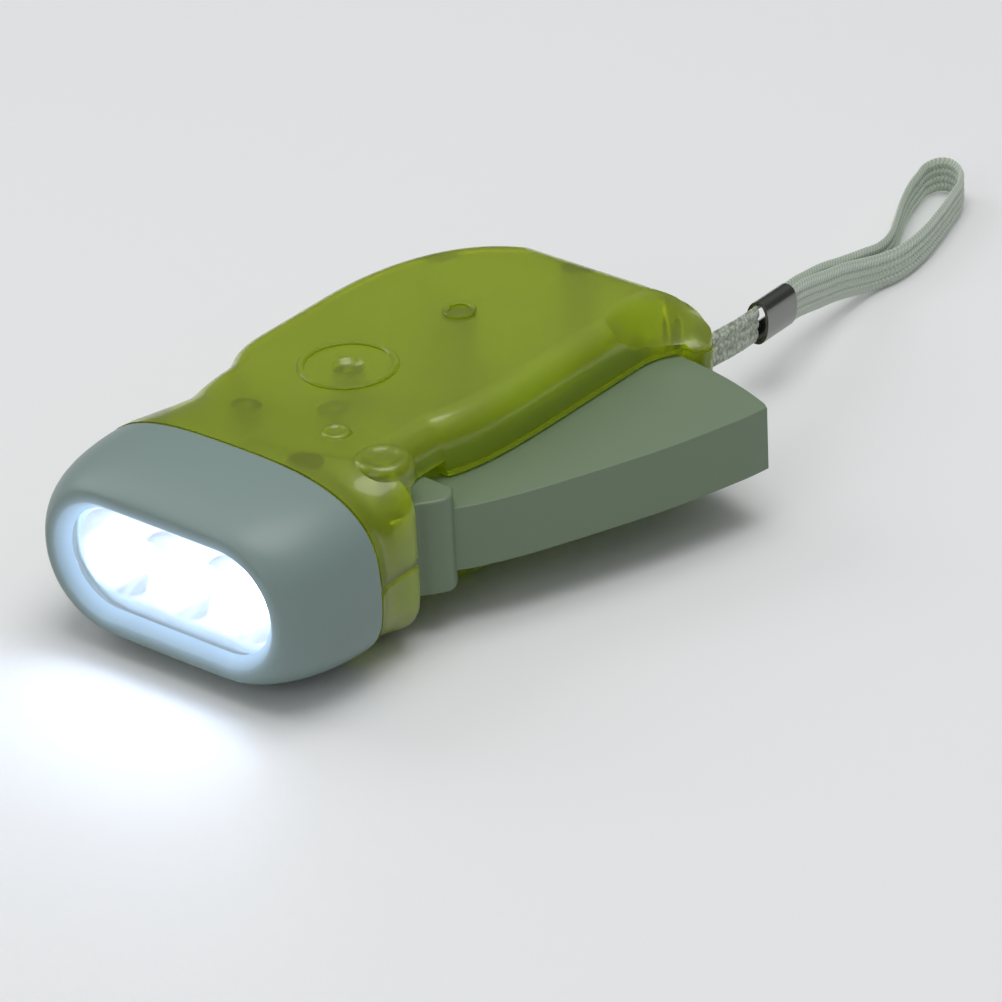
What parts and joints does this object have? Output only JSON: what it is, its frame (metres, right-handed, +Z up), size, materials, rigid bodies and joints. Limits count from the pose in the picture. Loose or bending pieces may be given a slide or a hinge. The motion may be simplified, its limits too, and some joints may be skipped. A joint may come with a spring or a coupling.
{
  "type": "hand crank flashlight",
  "caption": "Hand-powered dynamo torch with a translucent two-part housing, flared oval head, squeeze lever, internal gear train and wrist strap.",
  "frame": {"origin": "on the flat underside, below the beam's centre line, 51.75 mm behind the front rim", "axes": "+X towards the lever, -Y along the beam, +Y towards the tail, +Z up from the flat underside"},
  "size_m": [0.0757, 0.2023, 0.0322],
  "materials": {
    "housing": "glossy translucent",
    "grey_plastic": "satin",
    "clear_plastic": "clear",
    "led": "clear, lit",
    "chromed": "mirror-like",
    "steel": "bright",
    "white_plastic": "moulded",
    "black_plastic": "moulded",
    "circuit_board": "lacquered",
    "copper": "enamelled wire and strip",
    "wire_insulation": "moulded",
    "braid": "woven"
  },
  "bodies": {
    "housing": {"upper_shell": "housing", "lower_shell": "housing", "bezel": "grey_plastic", "lens": "clear_plastic", "reflector": "chromed", "led_left": "led", "led_centre": "led", "led_right": "led", "led_board": "circuit_board", "first_axle": "steel", "second_axle": "steel", "lever_pin": "steel", "strap_pin": "steel", "stator_cup": "steel", "coil_bobbin": "white_plastic", "coil_winding": "copper", "lever_spring": "steel", "screw_middle": "steel", "screw_tail_left": "steel", "screw_tail_right": "steel", "screw_neck_left": "steel", "screw_neck_right": "steel", "switch_body": "steel", "button_cell_1": "steel", "button_cell_2": "steel", "button_cell_3": "steel", "cell_contact_left": "copper", "cell_contact_right": "copper", "wire_switch": "wire_insulation", "wire_coil": "copper", "wire_cells": "black_plastic", "strap_tail": "braid", "strap_crimp": "steel", "wrist_strap": "braid"},
    "lever": {"lever": "grey_plastic", "sector_gear": "white_plastic"},
    "first_gear": {"first_gear": "white_plastic"},
    "second_gear": {"second_gear": "white_plastic"},
    "rotor": {"rotor_shaft": "steel", "rotor_magnet": "black_plastic", "flywheel": "steel"},
    "switch_slider": {"switch_slider": "black_plastic"}
  },
  "joints": [
    {"name": "lever_swing", "type": "hinge", "parent": "housing", "child": "lever", "pos_m": [0.0196, -0.0218, 0.0151], "axis": [0, 0, 1], "range_deg": [0, 15], "stiffness_Nm_per_rad": 0.6, "springref_deg": -11.46},
    {"name": "first_gear_turn", "type": "hinge", "parent": "housing", "child": "first_gear", "pos_m": [-0.00945, -0.0201, 0.0151], "axis": [0, 0, 1], "range_deg": [-72, 0]},
    {"name": "second_gear_turn", "type": "hinge", "parent": "housing", "child": "second_gear", "pos_m": [0.00188, -0.0124, 0.0151], "axis": [0, 0, 1], "range_deg": [0, 172.8]},
    {"name": "rotor_turn", "type": "hinge", "parent": "housing", "child": "rotor", "pos_m": [-0.0046, -0.0013, 0.0151], "axis": [0, 0, 1], "range_deg": [-414.72, 0]},
    {"name": "switch_slide", "type": "slide", "parent": "housing", "child": "switch_slider", "axis": [0, 1, 0], "range_m": [0, 0.0026]}
  ],
  "couplings": [
    {"joint": "first_gear_turn", "follows": "lever_swing", "ratio": -4.8},
    {"joint": "second_gear_turn", "follows": "lever_swing", "ratio": 11.52},
    {"joint": "rotor_turn", "follows": "lever_swing", "ratio": -27.648}
  ]
}
